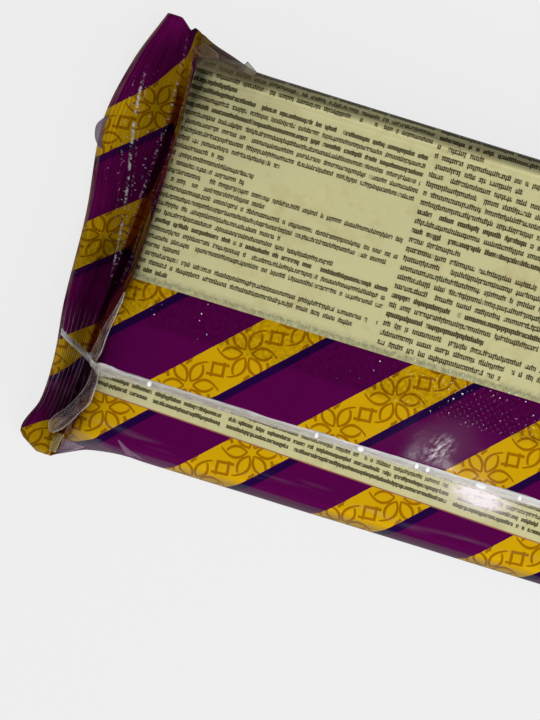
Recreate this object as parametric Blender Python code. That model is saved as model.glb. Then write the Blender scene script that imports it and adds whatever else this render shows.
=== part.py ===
"""Flow-wrapped bar of halva: a pressed slab shut in printed film.

The pack lies on its front with the back seam up. Film hugs the slab, falls steeply at each
end and closes in a low, flat, crimped end seal that is wider than the slab. The back seam is
a flap folded flat towards -Y, and it runs on over both end seals.

The whole pack is one closed solid. +X is its length, +Y its width and +Z up. The origin is
the middle of its footprint on the surface that it lies on. All lengths are in metres.
"""

import math

import bmesh
import bpy

MM = 0.001

# The wrapped slab.
SLAB_LENGTH = 120.0 * MM
SLAB_WIDTH = 86.0 * MM
SLAB_HEIGHT = 20.0 * MM
TOP_EDGE_RADIUS = 4.0 * MM
BOTTOM_EDGE_RADIUS = 3.0 * MM
SIDE_BAND = 3.0 * MM                 # upright strip of side film between the two corner rounds
TOP_CROWN = 0.35 * MM                # the middle of the upper face over its long edges

# The end seals, flat film on film.
SEAL_WIDTH = 99.4 * MM
SEAL_OFFSET = 1.4 * MM               # the -X seal sits this much towards +Y, the other towards -Y
SEAL_THICKNESS = 0.7 * MM
SEAL_LEVEL = 3.6 * MM                # height of the middle of the seal at its inner line
RIDGE_PITCH_COUNT = 7                # crimp ridges from the inner line to the outer edge
RIDGE_HEIGHT = 0.22 * MM             # crest above the mean, and hollow below it

# Film beside the slab that fans out to the ends of each seal.
FAN_START = 43.0 * MM                # distance from the middle, along X, where it leaves the slab
FAN_END = 67.0 * MM
FAN_POWER = 1.6

# The back seam's flap.
FLAP_ROOT = -4.5 * MM                # Y of the fold it is hinged on
FLAP_EDGE = -27.5 * MM               # Y of its free edge
FLAP_ROOT_RAMP = 2.0 * MM
FLAP_EDGE_RAMP = 0.4 * MM
FLAP_RISE_AT_ROOT = 0.3 * MM
FLAP_RISE_AT_EDGE = 0.9 * MM
FLAP_SLIDE = 6.0 * MM                # the free edge drifts to +Y on its way over each seal
FLAP_SLIDE_REACH = 9.0 * MM

# Three lines across the -X end, each as (Y, distance from the middle along X). The +X end is
# the same end turned half round, so the footprint stays centred on the origin.
FACE_LINE = (
    (-49.0 * MM, 65.0 * MM), (-41.0 * MM, 63.5 * MM), (-30.0 * MM, 61.2 * MM),
    (-15.0 * MM, 61.8 * MM), (-4.0 * MM, 60.0 * MM), (30.0 * MM, 60.0 * MM), (50.0 * MM, 61.0 * MM),
)
FOOT_LINE = (
    (-49.0 * MM, 67.0 * MM), (-33.0 * MM, 66.2 * MM), (-17.0 * MM, 65.6 * MM),
    (0.0 * MM, 64.6 * MM), (30.0 * MM, 63.2 * MM), (50.0 * MM, 65.0 * MM),
)
OUTER_LINE = (
    (-48.3 * MM, 70.5 * MM), (-45.0 * MM, 75.0 * MM), (-37.0 * MM, 72.6 * MM),
    (-27.0 * MM, 72.4 * MM), (-15.0 * MM, 74.0 * MM), (4.0 * MM, 75.2 * MM),
    (24.6 * MM, 77.7 * MM), (38.9 * MM, 75.3 * MM), (51.1 * MM, 71.6 * MM),
)
# How far the seal's outer edge stands above its inner line, as (Y, rise).
OUTER_RISE = (
    (-49.0 * MM, -1.6 * MM), (-38.0 * MM, 1.5 * MM), (-26.0 * MM, 3.4 * MM),
    (-8.0 * MM, 0.6 * MM), (20.0 * MM, -1.4 * MM), (50.0 * MM, 0.4 * MM),
)

# Stations of the mesh. Along X a station is 0 at the middle, 1 at the face line, 2 at the
# foot line and 3 at the seal's outer edge.
SLAB_STATIONS = (0.0, 0.25, 0.5, 0.66, 0.76, 0.85, 0.92, 0.97)
WALL_STATIONS = (1.0, 1.14, 1.28, 1.42, 1.58, 1.74, 1.88)
SEAL_STEPS = 2 * RIDGE_PITCH_COUNT
HALF_GIRTH = (
    SLAB_WIDTH / 2 - TOP_EDGE_RADIUS
    + math.pi / 2 * TOP_EDGE_RADIUS
    + SLAB_HEIGHT / 2 - TOP_EDGE_RADIUS - SIDE_BAND / 2
)
ROUND_STEPS = 3
FACE_STEPS = 4

FILM_COLOUR = (0.065, 0.002, 0.044, 1.0)
FILM_ROUGHNESS = 0.28

COLLECTION_NAME = "flow_wrapped_halva"
PACK_NAME = "wrapped_pack"


def clear_scene():
    """Remove every object that the file starts with."""
    for old in list(bpy.data.objects):
        bpy.data.objects.remove(old, do_unlink=True)


def smooth(t):
    """Ease from 0 to 1 with level ends."""
    t = min(1.0, max(0.0, t))
    return t * t * (3.0 - 2.0 * t)


def mix(start, end, t):
    """Straight blend from start to end."""
    return start + (end - start) * t


def curve_through(points, at):
    """Height at one place of the smooth curve through (place, height) points."""
    at = min(points[-1][0], max(points[0][0], at))
    spans = len(points) - 1
    span = next(i for i in range(spans) if at <= points[i + 1][0])

    def slope(i):
        before = points[max(0, i - 1)]
        after = points[min(spans, i + 1)]
        return (after[1] - before[1]) / (after[0] - before[0])

    start, end = points[span], points[span + 1]
    width = end[0] - start[0]
    t = (at - start[0]) / width
    return (
        (2 * t ** 3 - 3 * t ** 2 + 1) * start[1]
        + (t ** 3 - 2 * t ** 2 + t) * width * slope(span)
        + (3 * t ** 2 - 2 * t ** 3) * end[1]
        + (t ** 3 - t ** 2) * width * slope(span + 1)
    )


def slab_section(girth, upper):
    """Y and Z on the slab for a film position, measured from the middle of a face."""
    radius = TOP_EDGE_RADIUS if upper else BOTTOM_EDGE_RADIUS
    flat = SLAB_WIDTH / 2 - radius
    drop = SLAB_HEIGHT / 2 - radius - SIDE_BAND / 2
    around = flat + math.pi / 2 * radius + drop
    along = abs(girth) / HALF_GIRTH * around
    if along <= flat:
        across = along
        depth = 0.0
    elif along <= flat + math.pi / 2 * radius:
        angle = (along - flat) / radius
        across = flat + radius * math.sin(angle)
        depth = radius * (1.0 - math.cos(angle))
    else:
        across = SLAB_WIDTH / 2
        depth = radius + along - flat - math.pi / 2 * radius
    y = math.copysign(across, girth)
    if not upper:
        return y, depth
    crown = TOP_CROWN * (1.0 - (2 * y / SLAB_WIDTH) ** 2)
    return y, SLAB_HEIGHT - depth + crown


def flap_rise(girth):
    """How much the folded flap raises the upper film."""
    onto = (FLAP_ROOT + FLAP_ROOT_RAMP / 2 - girth) / FLAP_ROOT_RAMP
    off = (girth - FLAP_EDGE) / FLAP_EDGE_RAMP + 1.0
    across = (girth - FLAP_ROOT) / (FLAP_EDGE - FLAP_ROOT)
    rise = mix(FLAP_RISE_AT_ROOT, FLAP_RISE_AT_EDGE, smooth(across))
    return rise * smooth(onto) * min(1.0, max(0.0, off))


def film_point(station, girth, upper):
    """Place of one point of the film in metres."""
    end = abs(station)
    turned = 1.0 if station < 0 else -1.0        # the +X end is the -X end turned half round
    flat_y = girth / HALF_GIRTH * SEAL_WIDTH / 2 + SEAL_OFFSET * turned
    face = curve_through(FACE_LINE, flat_y * turned)
    foot = curve_through(FOOT_LINE, flat_y * turned)
    outer = curve_through(OUTER_LINE, flat_y * turned)
    if end <= 1.0:
        reach = end * SLAB_LENGTH / 2 + (face - SLAB_LENGTH / 2) * end ** 8
    elif end <= 2.0:
        reach = mix(face, foot, end - 1.0)
    else:
        reach = mix(foot, outer, end - 2.0)

    over_seal = max(0.0, end - 2.0)
    ridge = RIDGE_HEIGHT * -math.cos(over_seal * RIDGE_PITCH_COUNT * 2 * math.pi)
    ridge *= smooth(over_seal * SEAL_STEPS / 2)
    rise = curve_through(OUTER_RISE, flat_y * turned) * smooth(over_seal)
    seal_z = SEAL_LEVEL + rise + ridge + (0.5 if upper else -0.5) * SEAL_THICKNESS

    slab_y, slab_z = slab_section(girth, upper)
    at_face = smooth((end - 0.97) / 1.03)
    at_side = min(1.0, max(0.0, (reach - FAN_START) / (FAN_END - FAN_START))) ** FAN_POWER
    at_side = max(at_side, smooth(end - 1.2))
    from_side = smooth((HALF_GIRTH - abs(girth)) / (HALF_GIRTH - SLAB_WIDTH / 2 + TOP_EDGE_RADIUS))
    shut = mix(at_side, at_face, from_side)
    y = mix(slab_y, flat_y, shut)
    z = mix(slab_z, seal_z, shut)
    if upper:
        z += flap_rise(girth)
        near_edge = math.exp(-((girth - FLAP_EDGE) / FLAP_SLIDE_REACH) ** 2)
        y += FLAP_SLIDE * smooth((end - 1.5) / 1.5) * near_edge
    return math.copysign(reach, station), y, z


def girth_stations():
    """Film positions across a face, from one side of the pack to the other."""
    flat = SLAB_WIDTH / 2 - TOP_EDGE_RADIUS
    round_length = math.pi / 2 * TOP_EDGE_RADIUS
    side = [flat + round_length * i / ROUND_STEPS for i in range(ROUND_STEPS + 1)]
    plain = [flat * i / FACE_STEPS for i in range(FACE_STEPS)]
    seam = [
        FLAP_ROOT + FLAP_ROOT_RAMP / 2, FLAP_ROOT - FLAP_ROOT_RAMP / 2,
        mix(FLAP_ROOT, FLAP_EDGE, 0.4), mix(FLAP_ROOT, FLAP_EDGE, 0.7),
        FLAP_EDGE, FLAP_EDGE - FLAP_EDGE_RAMP, mix(FLAP_EDGE, -flat, 0.5),
    ]
    return sorted(plain + seam + side + [-s for s in side])


def end_stations():
    """Stations of one end, from the middle of the pack to just short of its outer edge."""
    seal = [2.0 + i / SEAL_STEPS for i in range(SEAL_STEPS)]
    return list(SLAB_STATIONS) + list(WALL_STATIONS) + seal


def build_pack(collection):
    """Cut a box at every station, then lay each of its points on the film."""
    mesh = bpy.data.meshes.new(PACK_NAME)
    form = bmesh.new()
    bmesh.ops.create_cube(form, size=2.0)
    for vert in form.verts:
        vert.co.x *= 3.0
        vert.co.y *= HALF_GIRTH
    ends = end_stations()
    for station in sorted(set(ends + [-s for s in ends])):
        cut = form.verts[:] + form.edges[:] + form.faces[:]
        bmesh.ops.bisect_plane(form, geom=cut, dist=1e-7, plane_co=(station, 0, 0), plane_no=(1, 0, 0))
    for girth in girth_stations():
        cut = form.verts[:] + form.edges[:] + form.faces[:]
        bmesh.ops.bisect_plane(form, geom=cut, dist=1e-7, plane_co=(0, girth, 0), plane_no=(0, 1, 0))
    for vert in form.verts:
        vert.co = film_point(vert.co.x, vert.co.y, vert.co.z > 0)
    bmesh.ops.recalc_face_normals(form, faces=form.faces)
    form.to_mesh(mesh)
    form.free()
    mesh.shade_smooth()
    mesh.set_sharp_from_angle(angle=math.radians(50))
    pack = bpy.data.objects.new(PACK_NAME, mesh)
    collection.objects.link(pack)
    return pack


def film_material():
    """Glossy printed film."""
    material = bpy.data.materials.new("printed_film")
    material.use_nodes = True
    shader = material.node_tree.nodes["Principled BSDF"]
    shader.inputs["Base Color"].default_value = FILM_COLOUR
    shader.inputs["Roughness"].default_value = FILM_ROUGHNESS
    shader.inputs["Metallic"].default_value = 0.0
    return material


def main():
    """Model the pack in its own collection."""
    clear_scene()
    collection = bpy.data.collections.new(COLLECTION_NAME)
    bpy.context.scene.collection.children.link(collection)
    pack = build_pack(collection)
    pack.data.materials.append(film_material())


main()
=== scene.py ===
"""Dresses a shut flow pack of halva in its printed film.

The pack lies seam side up. Its pieces are the tube of printed film round the slab, with a
crimped seal at each end, the back seam's folded flap, the flap's bare rolled edge, and the
loose clear folds at the corners. Film positions are given in millimetres: "along" runs with
the pack's length and "girth" runs round it, from the middle of the seam face over the +Y side.
"""

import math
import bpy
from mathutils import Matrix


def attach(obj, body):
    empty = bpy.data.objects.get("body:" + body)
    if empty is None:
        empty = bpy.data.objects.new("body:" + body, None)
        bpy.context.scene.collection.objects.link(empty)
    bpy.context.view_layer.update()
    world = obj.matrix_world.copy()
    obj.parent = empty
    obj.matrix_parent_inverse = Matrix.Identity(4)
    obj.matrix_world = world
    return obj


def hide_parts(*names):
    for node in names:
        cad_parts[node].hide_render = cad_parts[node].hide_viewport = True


bl_info = {
    "name": "Flow-Wrapped Halva Pack",
    "version": (1, 0, 0),
    "blender": (4, 5, 0),
    "location": "View3D > Sidebar > Halva Pack",
    "description": "Dresses a shut flow pack of halva in printed, crimped film",
    "category": "Object",
}

from functools import lru_cache, partialmethod

import bpy
import numpy as np
from mathutils import Vector
from mathutils.bvhtree import BVHTree

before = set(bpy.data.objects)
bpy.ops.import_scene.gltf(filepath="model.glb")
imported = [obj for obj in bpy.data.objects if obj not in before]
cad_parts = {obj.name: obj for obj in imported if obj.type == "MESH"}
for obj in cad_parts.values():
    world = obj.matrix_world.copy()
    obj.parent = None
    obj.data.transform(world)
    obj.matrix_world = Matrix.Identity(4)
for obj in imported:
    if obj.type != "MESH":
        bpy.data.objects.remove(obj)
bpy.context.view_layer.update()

PACK_NODE = "wrapped_pack"
BODY = "root"
MM = 0.001


def in_metres(*points):
    """Points given in mm, in metres."""
    return tuple(tuple(value * MM for value in point) for point in points)


# --- The pack's form, as its solid has it -------------------------------------------------

SLAB_LENGTH = 120.0 * MM
SLAB_WIDTH = 86.0 * MM
SLAB_HEIGHT = 20.0 * MM
TOP_EDGE_RADIUS = 4.0 * MM
BOTTOM_EDGE_RADIUS = 3.0 * MM
SIDE_BAND = 3.0 * MM
TOP_CROWN = 0.35 * MM
SEAL_WIDTH = 99.4 * MM
SEAL_OFFSET = 1.4 * MM
SEAL_LEVEL = 3.6 * MM
FAN_START = 43.0 * MM
FAN_END = 67.0 * MM
FAN_POWER = 1.6
LOW_FAN_POWER = 3.4
FLAP_ROOT = -4.5 * MM
FLAP_EDGE = -27.5 * MM
FLAP_SLIDE = 3.72 * MM               # how far the flap is drawn aside over each end seal
FACE_LINE = in_metres(
    (-49.0, 65.0), (-41.0, 63.5), (-30.0, 61.2),
    (-15.0, 61.8), (-4.0, 60.0), (30.0, 60.0), (50.0, 61.0),
)
FOOT_LINE = in_metres(
    (-49.0, 67.0), (-33.0, 66.2), (-17.0, 65.6),
    (0.0, 64.6), (30.0, 63.2), (50.0, 65.0),
)
OUTER_LINE = in_metres(
    (-48.3, 70.5), (-45.0, 75.0), (-37.0, 72.6),
    (-27.0, 72.4), (-15.0, 74.0), (4.0, 75.2),
    (24.6, 77.7), (38.9, 75.3), (51.1, 70.9),
)
OUTER_RISE = in_metres(
    (-49.0, -1.6), (-38.0, 1.5), (-26.0, 3.4),
    (-8.0, 0.6), (20.0, -1.4), (50.0, 0.4),
)
HALF_GIRTH = (
    SLAB_WIDTH / 2 - TOP_EDGE_RADIUS
    + math.pi / 2 * TOP_EDGE_RADIUS
    + SLAB_HEIGHT / 2 - TOP_EDGE_RADIUS - SIDE_BAND / 2
)
QUARTER_GIRTH = HALF_GIRTH + SIDE_BAND / 2

# --- The film's own finish ----------------------------------------------------------------

SEAL_FILM = 0.3 * MM                 # both layers of film in an end seal
TIP_NOTCH = 1.5 * MM                 # how far the seal's +Y tip is drawn in
PLEAT_HEIGHT = 0.03 * MM             # small pleats across the middle of each seal
SWELL_AT = (29.0, -30.5)             # where the lower side stands up a little, in mm of film
SWELL_RADIUS = 8.0
SWELL_HEIGHT = 0.24 * MM
FOLD_HEIGHT = 0.3 * MM               # loose folds of the film on its way to the seals
CRIMP_SPAN = (0.03, 0.9)             # crimped share of the seal, from its inner line outwards
PATH_LOST = in_metres(               # film used up by the fall at each end, by place across
    (-49.0, 0.8), (-43.5, 1.8), (-40.9, 3.1), (-36.0, 7.6),
    (-30.7, 11.0), (-25.0, 9.6), (-19.0, 10.3), (0.0, 13.3),
    (33.0, 18.6), (43.0, 15.6), (51.0, 13.2),
)
FLAP_FILM = 0.1 * MM                 # both layers of film in the flap
ROLL_FILM = 0.08 * MM
CLEAR_FILM = 0.06 * MM
ROLL_SECTION = (                     # the flap's rolled edge: girth in mm, and share of its height
    (-27.5, 0.12), (-27.65, 0.36), (-27.5, 0.68), (-27.2, 0.92),
    (-26.8, 1.0), (-26.4, 0.9), (-26.0, 0.66), (-25.7, 0.42),
)
FACE_FALL = 0.97                     # station where the upper film starts to fall
SEAL_SLIDE = -4.0                    # print drawn aside along the bands at each end, in mm
LIP_SPOTS = (                        # painted highlight spots on the flap's edge: place, half-length
    (-50.2, 0.55), (-13.6, 0.5), (-3.9, 0.85), (8.4, 0.5), (10.8, 0.5), (22.5, 1.6), (31.0, 0.5),
)

# The print, in mm of film.
BAND_PITCH = 32.4
BAND_START = -24.6
BAND_WIDTH = 13.3
SHADE_WIDTH = 2.36
LOWER_BAND_SHIFT = 5.9
LOWER_MOTIF_SHIFT = 3.65
MOTIF_PITCH = 14.06
MOTIF_STEP = 22.91
MOTIF_START = 47.35
CREAM_EDGE = -6.4
CREAM_END = 60.9
CREAM_SIDE_EDGE = 50.0
STRIP_EDGE = -33.2
STRIP_SLOPE = -0.033
GIRTH_MM = 4 * QUARTER_GIRTH / MM
FRONT_MIDDLE = GIRTH_MM / 2
FRONT_FIELD = (55.0, 35.0)           # half-length and half-width of the front's purple field
FRONT_FRAME = (53.2, 33.2)           # inner edge of its gold frame
FRONT_OVAL = (34.0, 17.0)            # half-axes of the plain oval
KNURL_ZONE = (-15.0, -4.7)           # grid of pits pressed along the back seam
KNURL_PITCH = 1.55
STRIP_GLARE = (23.0, GIRTH_MM - 28.8)
STRIP_GLARE_SIZE = (8.0, 3.4)
FLAP_GLARE = (11.9, -21.9)
FLAP_GLARE_SIZE = (5.0, 3.4)
SHEEN_LINE = GIRTH_MM - 38.2         # long soft painted sheen on the lower side

# The two columns of small print, left and right, in mm.
COLUMN_SPLIT = -7.2
COLUMN_STARTS = (-58.9, -6.0)
COLUMN_WIDTH = 50.6
LINE_PITCHES = (1.81, 2.04)
LETTER_WIDTHS = (0.66, 0.8)
PRINT_START = -4.0                   # middle of the lowest line, across the face
STRIP_LINE_PITCH = 1.58
STRIP_COLUMN = (50.3, 48.9)          # pitch and printed length of the strip's columns

# Length of each line of small print as a share of its column, from the lowest line up.
LEFT_LINES = (
    0.12, 0.9, 1, 0.13, 1, 1, 1, 0.75, 0.51, 0.96, 1, 0.41, 1,
    0.3, 0.33, 0.19, 0.42, 1, 1, 1, 1, 1, 1, 0.17, 1, 1,
)
RIGHT_LINES = (
    0.51, 1, 1, 0.4, 1, 1, 1, 1, 1, 1, 1, 0.2, 1,
    1, 1, 1, 1, 0.62, 1, 0.38, 1, 0.18, 1, 1,
)


def linear(red, green, blue):
    """Scene-linear colour for 0-255 screen values."""
    def one(value):
        share = value / 255.0
        if share <= 0.04045:
            return share / 12.92
        return ((share + 0.055) / 1.055) ** 2.4
    return (one(red), one(green), one(blue), 1.0)


# --- Sizes and colours that a user would change --------------------------------------------


def length_setting(name, description, length):
    """A length in metres that the panel shows."""
    return bpy.props.FloatProperty(
        name=name, description=description, default=length, unit="LENGTH", precision=5,
    )


def ink_setting(name, description, *screen):
    """A colour that the panel shows, given as 0-255 screen values."""
    return bpy.props.FloatVectorProperty(
        name=name, description=description, subtype="COLOR", size=4, default=linear(*screen),
    )


class PackSizes(bpy.types.PropertyGroup):
    """Sizes of the film's folds and seals."""

    ridge_count: bpy.props.IntProperty(
        name="Crimp Ridges", description="Ridges across each end seal", default=14, min=4, max=24,
    )
    ridge_height: length_setting("Ridge Height", "Crest of a crimp ridge above its mean", 0.03 * MM)
    seal_bulge: length_setting("Seal Bulge", "Rise of the middle of each seal", 0.9 * MM)
    cockle: length_setting("Cockle", "Height of the film's slow waves on the face", 0.03 * MM)
    lip_height: length_setting("Lip Height", "How far the flap's rolled edge stands up", 0.55 * MM)


class PrintColours(bpy.types.PropertyGroup):
    """Inks of the printed film."""

    purple: ink_setting("Purple", "Ground colour", 79, 4, 65)
    navy: ink_setting("Navy", "Shadow beside each band", 32, 5, 56)
    yellow: ink_setting("Yellow", "Diagonal bands", 198, 154, 8)
    ochre: ink_setting("Ochre", "Ornament lines on the bands", 148, 99, 2)
    cream: ink_setting("Cream", "Panel for the small print", 193, 188, 141)
    ink: ink_setting("Ink", "Small print", 44, 38, 18)


class StageLook(bpy.types.PropertyGroup):
    """Camera and light."""

    turn: bpy.props.FloatProperty(
        name="Turn", description="Turn of the picture against the pack",
        default=math.radians(17.1), subtype="ANGLE",
    )
    height: length_setting("Camera Height", "Camera above the pack's face", 0.5)
    aim: bpy.props.FloatVectorProperty(
        name="Aim", description="Point of the face in the middle of the picture",
        default=(-27.6 * MM, -14.4 * MM, SLAB_HEIGHT), subtype="TRANSLATION", unit="LENGTH",
    )
    tall: length_setting("Picture Height", "Length of face in the picture, up and down", 151.4 * MM)


def sizes():
    """The pack's sizes as the scene holds them."""
    return bpy.context.scene.halva_sizes


def colours():
    """The print's colours as the scene holds them."""
    return bpy.context.scene.halva_colours


def stage_look():
    """The camera's settings as the scene holds them."""
    return bpy.context.scene.halva_stage


# --- The film's form ------------------------------------------------------------------------


def smooth(t):
    """Ease from 0 to 1 with level ends."""
    t = min(1.0, max(0.0, t))
    return t * t * (3.0 - 2.0 * t)


def mix(start, end, t):
    """Straight blend from start to end."""
    return start + (end - start) * t


def curve_through(points, at):
    """Height at one place of the smooth curve through (place, height) points."""
    at = min(points[-1][0], max(points[0][0], at))
    spans = len(points) - 1
    span = next(i for i in range(spans) if at <= points[i + 1][0])

    def slope(i):
        before = points[max(0, i - 1)]
        after = points[min(spans, i + 1)]
        return (after[1] - before[1]) / (after[0] - before[0])

    start, end = points[span], points[span + 1]
    width = end[0] - start[0]
    t = (at - start[0]) / width
    return (
        (2 * t ** 3 - 3 * t ** 2 + 1) * start[1]
        + (t ** 3 - 2 * t ** 2 + t) * width * slope(span)
        + (3 * t ** 2 - 2 * t ** 3) * end[1]
        + (t ** 3 - t ** 2) * width * slope(span + 1)
    )


@lru_cache(maxsize=None)
def end_lines(flat_y):
    """Face line, foot line, outer line, outer rise and lost film at one place across a seal."""
    lines = (FACE_LINE, FOOT_LINE, OUTER_LINE, OUTER_RISE, PATH_LOST)
    return tuple(curve_through(line, flat_y) for line in lines)


@lru_cache(maxsize=None)
def slab_section(girth, upper):
    """Y and Z on the slab for a film position, measured from the middle of a face."""
    radius = TOP_EDGE_RADIUS if upper else BOTTOM_EDGE_RADIUS
    flat = SLAB_WIDTH / 2 - radius
    drop = SLAB_HEIGHT / 2 - radius - SIDE_BAND / 2
    around = flat + math.pi / 2 * radius + drop
    along = abs(girth) / HALF_GIRTH * around
    if along <= flat:
        across = along
        depth = 0.0
    elif along <= flat + math.pi / 2 * radius:
        angle = (along - flat) / radius
        across = flat + radius * math.sin(angle)
        depth = radius * (1.0 - math.cos(angle))
    else:
        across = SLAB_WIDTH / 2
        depth = radius + along - flat - math.pi / 2 * radius
    y = math.copysign(across, girth)
    if not upper:
        return y, depth
    crown = TOP_CROWN * (1.0 - (2 * y / SLAB_WIDTH) ** 2)
    return y, SLAB_HEIGHT - depth + crown


def film_point(station, girth, upper, ridge_count, ridge_height, bulge):
    """X, Y, Z of the film, its printed length in mm, how far it has shut towards the seal, how
    far its print is drawn aside in mm, and its station without the sign.

    A station runs from -3 to 3: the face ends at 1, the fall at 2 and the seal at 3."""
    end = abs(station)
    turned = 1.0 if station < 0 else -1.0
    flat_y = girth / HALF_GIRTH * SEAL_WIDTH / 2 + SEAL_OFFSET * turned
    face, foot, outer, rise, lost = end_lines(round(flat_y * turned, 7))
    at_tip = max(0.0, girth * turned / HALF_GIRTH) ** 9 * smooth((end - 1.75) / 0.3)
    flat_y -= TIP_NOTCH * at_tip * (1.0 - smooth((end - 2.05) / 0.45)) * turned
    if end <= 1.0:
        reach = end * SLAB_LENGTH / 2 + (face - SLAB_LENGTH / 2) * end ** 8
    elif end <= 2.0:
        reach = mix(face, foot, end - 1.0)
    else:
        reach = mix(foot, outer, end - 2.0)

    over_seal = max(0.0, end - 2.0)
    crimped = (over_seal - CRIMP_SPAN[0]) / (CRIMP_SPAN[1] - CRIMP_SPAN[0])
    ridge = 0.0
    if 0.0 < crimped < 1.0:
        ridge = ridge_height * math.sin(crimped * ridge_count * 2 * math.pi)
        ridge *= min(1.0, 8 * crimped, 8 * (1 - crimped))
        ridge *= 0.4 + 0.9 * smooth((-girth * turned / MM - 16) / 14)
        ridge *= smooth((girth * turned / MM + 47) / 10)
    film = SEAL_FILM / 2 * math.sqrt(min(1.0, max(0.0, (3.0 - end) / 0.03)))
    seal_z = SEAL_LEVEL + rise * smooth(over_seal) + ridge + (film if upper else -film)
    across = girth * turned / MM
    pressed = smooth((across + 24) / 14) * smooth((40 - across) / 10)
    seal_z += bulge * mix(0.5, 1.0, pressed) * math.sin(math.pi * over_seal ** 1.8)
    ripples = math.sin(across * 2.1 + 2.2 * math.sin(across * 0.7) + 9 * over_seal)
    seal_z += PLEAT_HEIGHT * pressed * ripples * math.exp(-((over_seal - 0.55) / 0.25) ** 2)

    slab_y, slab_z = slab_section(girth, upper)
    fallen = smooth((end - FACE_FALL) / (2.0 - FACE_FALL))
    power = FAN_POWER if across > 0 else LOW_FAN_POWER
    at_side = min(1.0, max(0.0, (reach - FAN_START) / (FAN_END - FAN_START))) ** power
    at_side = max(at_side, smooth(end - 1.2))
    from_side = smooth((HALF_GIRTH - abs(girth)) / (HALF_GIRTH - SLAB_WIDTH / 2 + TOP_EDGE_RADIUS))
    shut = mix(at_side, fallen, from_side)
    printed = (reach + lost * fallen) / MM
    return (
        math.copysign(reach, station), mix(slab_y, flat_y, shut), mix(slab_z, seal_z, shut),
        math.copysign(printed, station) + SEAL_SLIDE * fallen * turned, shut,
        SEAL_SLIDE * fallen * turned, end,
    )


def runs(*pieces):
    """Even steps through each (start, end, steps) piece, without the last end."""
    return [mix(start, end, i / steps) for start, end, steps in pieces for i in range(steps)]


def both_ends(half):
    """Stations of the whole pack from those of one end, which starts at 0."""
    return [-s for s in reversed(half[1:])] + half


def ripple(along, girth, length, seed):
    """Slow waves between -1 and 1, crossing in five directions."""
    total = 0.0
    for i in range(5):
        angle = seed * 1.7 + i * 1.2566
        phase = math.sin(seed * 12.9 + i * 78.2) * 40.0
        stretch = 1.0 + 0.35 * math.sin(seed * 3.1 + i * 2.3)
        way = along * math.cos(angle) + girth * math.sin(angle)
        total = total + np.sin(2 * math.pi * way / (length * stretch) + phase)
    return total / 5.0


# Creases of the film: (along, girth) of each end, width and height, in mm. The list is for
# the -X end of the seam face; the +X end repeats it turned half round where it can.
CREASES = (
    ((-57.0, 38.9), (75.0, 39.4), 0.7, 0.22),
    ((-52.0, 40.6), (20.0, 41.4), 0.9, -0.16),
    ((-33.0, -40.5), (-13.0, -41.0), 0.5, 0.12),
    ((-58.0, 33.0), (-38.0, 44.0), 0.9, 0.25),
    ((-60.0, 40.0), (-48.0, 47.5), 0.8, 0.35),
    ((-66.0, 42.0), (-52.0, 43.5), 0.8, 0.4),
    ((-62.0, 45.0), (-50.0, 49.5), 0.7, -0.3),
    ((-64.0, -38.0), (-50.0, -44.0), 0.9, 0.35),
    ((-62.0, -34.0), (-56.0, -46.0), 0.7, 0.3),
    ((-59.0, -42.0), (-46.0, -47.0), 0.8, -0.3),
    ((-57.0, -9.0), (-44.0, -20.0), 2.2, 0.12),
)


def creases(along, girth):
    """Height of the creases, in mm, over arrays of film positions."""
    total = np.zeros_like(along)
    for start, end, width, height in CREASES:
        for turned in (1, -1):
            if turned < 0 and end[0] > 0:
                continue
            x0, y0 = start[0] * turned, start[1] * turned
            x1, y1 = end[0] * turned, end[1] * turned
            run = math.hypot(x1 - x0, y1 - y0)
            ux, uy = (x1 - x0) / run, (y1 - y0) / run
            t = ((along - x0) * ux + (girth - y0) * uy) / run
            off = (along - x0) * uy - (girth - y0) * ux
            taper = np.clip(4 * t, 0, 1) * np.clip(4 * (1 - t), 0, 1)
            total += height * taper * np.exp(-np.abs(off / width) ** 1.5)
    return total


def relief(printed, girth, shut, cockle):
    """Height of the film above its plain form, in metres."""
    calm = np.clip(1.0 - shut * 1.3, 0, 1)
    slow = cockle * (ripple(printed, girth, 27.0, 1) + 0.45 * ripple(printed, girth, 9.0, 2))
    loose = 4 * shut * (1 - shut)
    fold = FOLD_HEIGHT * ripple(printed * 0.35, girth, 5.5, 3) * loose
    away = (printed - SWELL_AT[0]) ** 2 + (girth - SWELL_AT[1]) ** 2
    swell = SWELL_HEIGHT * np.exp(-away / SWELL_RADIUS ** 2)
    return (slow + swell) * calm + fold + creases(printed, girth) * MM * np.clip(calm * 1.2, 0, 1)


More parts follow.
